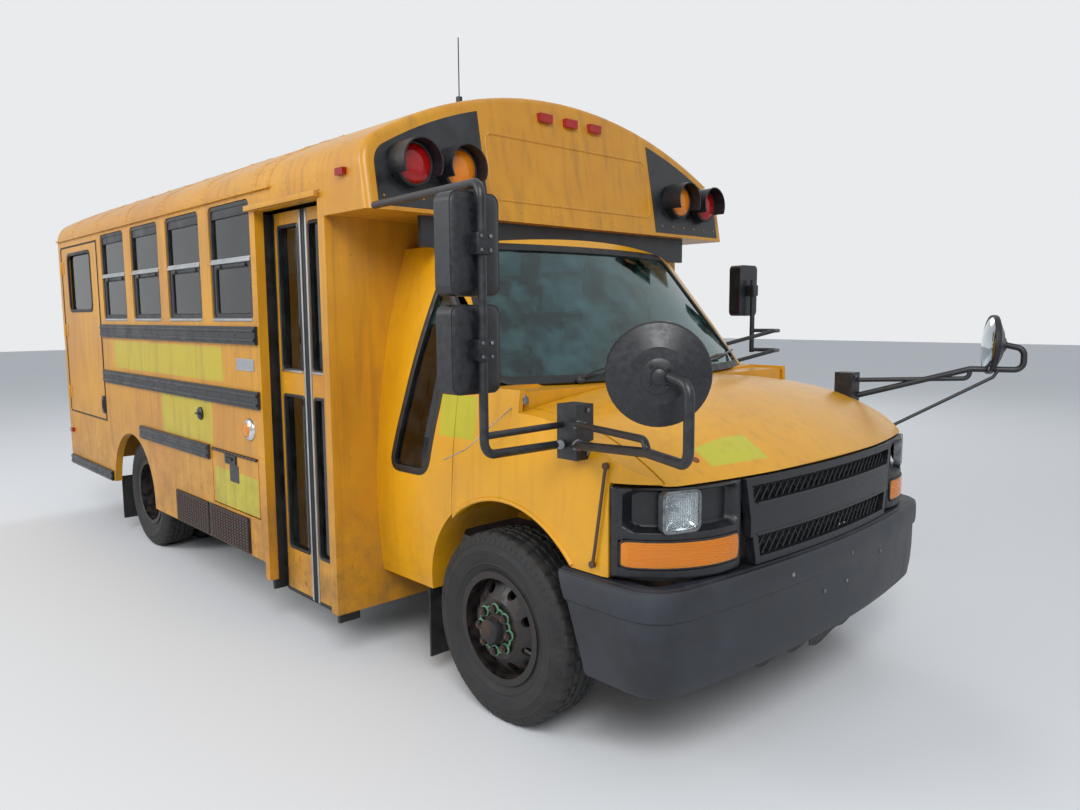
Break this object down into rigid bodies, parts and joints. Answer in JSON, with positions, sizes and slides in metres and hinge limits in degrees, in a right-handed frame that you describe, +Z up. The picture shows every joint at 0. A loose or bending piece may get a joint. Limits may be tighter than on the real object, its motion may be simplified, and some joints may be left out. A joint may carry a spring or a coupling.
{
  "type": "short school bus",
  "caption": "Short school bus on a cutaway van chassis, with hinged entrance, lift, emergency and driver's doors, hood, stop arm, steered front wheels and twin rear wheels.",
  "frame": {"origin": "on the ground under the middle of the overall length and width", "axes": "+X forward, +Y to the left, +Z up"},
  "size_m": [6.285, 2.955, 2.933],
  "materials": {
    "body_paint": "faded semi-gloss enamel",
    "front_paint": "glossy enamel",
    "tinted_glass": "tinted",
    "black_paint": "satin enamel",
    "red_paint": "gloss enamel",
    "black_moulding": "satin",
    "amber_lens": "clear lens",
    "red_lens": "clear lens",
    "lamp_glass": "fluted",
    "grey_bumper": "grained",
    "chassis_iron": "matt, rusty",
    "engine_iron": "as cast",
    "black_rubber": "matt",
    "arm_steel": "satin",
    "grey_trim": "grained",
    "seat_vinyl": "vinyl cover",
    "floor_rubber": "ribbed",
    "tyre": "matt",
    "rim_paint": "satin"
  },
  "bodies": {
    "bus": {"side_wall_right": "body_paint", "side_wall_left": "body_paint", "rear_wall": "body_paint", "roof": "body_paint", "front_cap": "body_paint", "bulkhead": "body_paint", "floor": "floor_rubber", "entrance_steps": "floor_rubber", "fixed_glass": "tinted_glass", "rub_rails": "black_paint", "skirt_louvres": "black_paint", "cab_shell": "front_paint", "fenders": "front_paint", "lamp_bezels": "black_moulding", "turn_lamps": "amber_lens", "headlamps": "lamp_glass", "grille": "black_moulding", "front_bumper": "grey_bumper", "rear_bumper": "black_paint", "front_suspension": "chassis_iron", "chassis_frame": "chassis_iron", "engine": "engine_iron", "rear_axle": "chassis_iron", "fuel_tank": "chassis_iron", "exhaust": "chassis_iron", "mud_flaps": "black_rubber", "warning_lamps": "black_moulding", "small_lamps": "red_lens", "mirror_arms": "arm_steel", "mirror_heads": "black_moulding", "dash": "grey_trim", "steering_wheel": "grey_trim", "seats": "seat_vinyl", "seat_frames": "chassis_iron", "antennas": "arm_steel"},
    "entrance_leaf_rear": {"entrance_leaf_rear": "body_paint", "entrance_glass_rear": "tinted_glass"},
    "entrance_leaf_front": {"entrance_leaf_front": "body_paint", "entrance_glass_front": "tinted_glass"},
    "lift_door": {"lift_door": "body_paint", "lift_glass": "tinted_glass"},
    "battery_door": {"battery_door": "body_paint"},
    "emergency_door": {"emergency_door": "body_paint", "emergency_glass": "tinted_glass"},
    "driver_door": {"driver_door": "front_paint", "driver_glass": "tinted_glass", "door_mirror_arms": "arm_steel", "door_mirror_heads": "black_moulding"},
    "hood": {"hood": "front_paint"},
    "stop_arm": {"stop_arm": "red_paint"},
    "knuckle_left": {"knuckle_left": "chassis_iron"},
    "knuckle_right": {"knuckle_right": "chassis_iron"},
    "wheel_front_left": {"tyre_front_left": "tyre", "rim_front_left": "rim_paint"},
    "wheel_front_right": {"tyre_front_right": "tyre", "rim_front_right": "rim_paint"},
    "wheels_rear_left": {"tyres_rear_left": "tyre", "rims_rear_left": "rim_paint"},
    "wheels_rear_right": {"tyres_rear_right": "tyre", "rims_rear_right": "rim_paint"}
  },
  "joints": [
    {"name": "steer_left", "type": "hinge", "parent": "bus", "child": "knuckle_left", "pos_m": [2.0175, 0.745, 0.372], "axis": [0, 0, 1], "range_deg": [-30, 30]},
    {"name": "spin_front_left", "type": "hinge", "parent": "knuckle_left", "child": "wheel_front_left", "pos_m": [2.0175, 0.874, 0.372], "axis": [0, 1, 0], "continuous": true},
    {"name": "spin_rear_left", "type": "hinge", "parent": "bus", "child": "wheels_rear_left", "pos_m": [-1.5135, 0.862, 0.372], "axis": [0, 1, 0], "continuous": true},
    {"name": "steer_right", "type": "hinge", "parent": "bus", "child": "knuckle_right", "pos_m": [2.0175, -0.745, 0.372], "axis": [0, 0, 1], "range_deg": [-30, 30]},
    {"name": "spin_front_right", "type": "hinge", "parent": "knuckle_right", "child": "wheel_front_right", "pos_m": [2.0175, -0.874, 0.372], "axis": [0, 1, 0], "continuous": true},
    {"name": "spin_rear_right", "type": "hinge", "parent": "bus", "child": "wheels_rear_right", "pos_m": [-1.5135, -0.862, 0.372], "axis": [0, 1, 0], "continuous": true},
    {"name": "entrance_rear_swing", "type": "hinge", "parent": "bus", "child": "entrance_leaf_rear", "pos_m": [0.5385, -1.1, 1.1], "axis": [0, 0, -1], "range_deg": [0, 90]},
    {"name": "entrance_front_swing", "type": "hinge", "parent": "bus", "child": "entrance_leaf_front", "pos_m": [1.1325, -1.1, 1.1], "axis": [0, 0, 1], "range_deg": [0, 90]},
    {"name": "lift_door_swing", "type": "hinge", "parent": "bus", "child": "lift_door", "pos_m": [-2.9625, -1.194, 1.4], "axis": [0, 0, -1], "range_deg": [0, 120]},
    {"name": "battery_door_swing", "type": "hinge", "parent": "bus", "child": "battery_door", "pos_m": [0.1625, -1.194, 0.85], "axis": [-1, 0, 0], "range_deg": [0, 100]},
    {"name": "emergency_door_swing", "type": "hinge", "parent": "bus", "child": "emergency_door", "pos_m": [-3.0415, -0.372, 1.5], "axis": [0, 0, 1], "range_deg": [0, 110]},
    {"name": "driver_door_swing", "type": "hinge", "parent": "bus", "child": "driver_door", "pos_m": [1.7305, 0.982, 1.1], "axis": [0, 0, -1], "range_deg": [0, 65]},
    {"name": "hood_lift", "type": "hinge", "parent": "bus", "child": "hood", "pos_m": [2.1175, 0, 1.285], "axis": [0, -1, 0], "range_deg": [0, 50]},
    {"name": "stop_arm_swing", "type": "hinge", "parent": "bus", "child": "stop_arm", "pos_m": [1.1015, 1.243, 1.312], "axis": [0, 0, -1], "range_deg": [0, 90]}
  ],
  "couplings": [
    {"joint": "steer_left", "follows": "steer_right", "ratio": 1},
    {"joint": "entrance_front_swing", "follows": "entrance_rear_swing", "ratio": 1}
  ]
}
